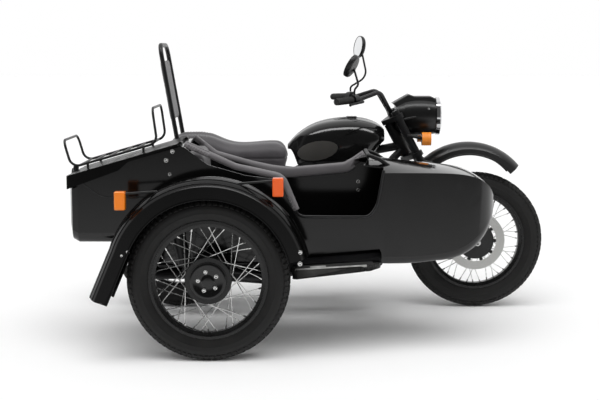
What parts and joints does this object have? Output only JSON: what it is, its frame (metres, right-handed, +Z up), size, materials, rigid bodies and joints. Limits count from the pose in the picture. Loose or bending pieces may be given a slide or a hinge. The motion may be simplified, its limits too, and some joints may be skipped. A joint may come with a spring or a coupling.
{
  "type": "motorcycle with sidecar",
  "caption": "Black motorcycle with a sidecar on its right: boxer engine, wire wheels, bench saddle, hollow cockpit tub and a lidded luggage trunk with rack.",
  "frame": {"origin": "on the floor, in the middle of the outfit's length and width", "axes": "+X forwards, +Y to the rider's left, +Z up"},
  "size_m": [2.2649, 1.6137, 1.3773],
  "materials": {
    "black_paint": "gloss black enamel",
    "black_frame": "satin black",
    "black_rim": "black rim and hub with bright spokes",
    "tyre": "matte rubber",
    "disc_steel": "ground steel",
    "alloy": "cast alloy",
    "black_alloy": "black coated alloy",
    "chrome": "polished",
    "vinyl": "dark vinyl",
    "rubber": "matte",
    "amber_lens": "amber lens",
    "red_lens": "red lens",
    "clear_lens": "clear lens",
    "mirror_glass": "mirror in a black shell",
    "step_metal": "worn black plate"
  },
  "bodies": {
    "chassis": {"frame": "black_frame", "engine_block": "alloy", "engine_cylinders": "alloy", "rocker_covers": "alloy", "carburettors": "alloy", "air_box": "black_alloy", "exhausts": "chrome", "swing_arm": "black_frame", "rear_shocks": "black_frame", "rear_fender": "black_paint", "tail_lamp": "red_lens", "fuel_tank": "black_paint", "saddle": "vinyl", "side_covers": "black_paint", "backrest_frame": "black_frame", "backrest_pad": "vinyl", "foot_pegs": "rubber", "sidecar_frame": "black_frame", "sidecar_body": "black_paint", "cockpit_coaming": "vinyl", "cockpit_seat": "vinyl", "cockpit_backrest": "vinyl", "cockpit_seat_base": "black_frame", "sidecar_swing_arm": "black_frame", "sidecar_shock": "black_frame", "sidecar_fender": "black_paint", "marker_lamps": "amber_lens", "step_plate": "step_metal", "grab_handle": "black_frame"},
    "steering": {"fork": "black_frame", "leading_links": "black_frame", "front_shocks": "black_frame", "brake_caliper": "black_alloy", "front_fender": "black_paint", "handlebar": "black_frame", "handlebar_grips": "rubber", "handlebar_controls": "black_alloy", "mirrors": "mirror_glass", "headlamp_shell": "black_paint", "headlamp_rim": "chrome", "headlamp_lens": "clear_lens", "front_indicators": "amber_lens"},
    "front_wheel": {"front_wheel": "black_rim", "front_tyre": "tyre", "front_brake_disc": "disc_steel"},
    "rear_wheel": {"rear_wheel": "black_rim", "rear_tyre": "tyre"},
    "sidecar_wheel": {"sidecar_wheel": "black_rim", "sidecar_tyre": "tyre"},
    "trunk_lid": {"trunk_lid": "black_paint", "luggage_rack": "black_frame"},
    "centre_stand": {"centre_stand": "black_frame"}
  },
  "joints": [
    {"name": "steering", "type": "hinge", "parent": "chassis", "child": "steering", "pos_m": [0.4085, 0.44075, 0.829], "axis": [-0.4695, 0, 0.8829], "range_deg": [-35, 35]},
    {"name": "front_wheel", "type": "hinge", "parent": "steering", "child": "front_wheel", "pos_m": [0.7875, 0.44075, 0.345], "axis": [0, 1, 0], "continuous": true},
    {"name": "rear_wheel", "type": "hinge", "parent": "chassis", "child": "rear_wheel", "pos_m": [-0.7125, 0.44075, 0.345], "axis": [0, 1, 0], "continuous": true},
    {"name": "sidecar_wheel", "type": "hinge", "parent": "chassis", "child": "sidecar_wheel", "pos_m": [-0.4845, -0.69925, 0.345], "axis": [0, 1, 0], "continuous": true},
    {"name": "trunk_lid", "type": "hinge", "parent": "chassis", "child": "trunk_lid", "pos_m": [-0.6195, -0.28925, 0.901], "axis": [0, 1, 0], "range_deg": [0, 75]},
    {"name": "centre_stand", "type": "hinge", "parent": "chassis", "child": "centre_stand", "pos_m": [-0.2425, 0.44075, 0.216], "axis": [0, -1, 0], "range_deg": [0, 60]}
  ]
}
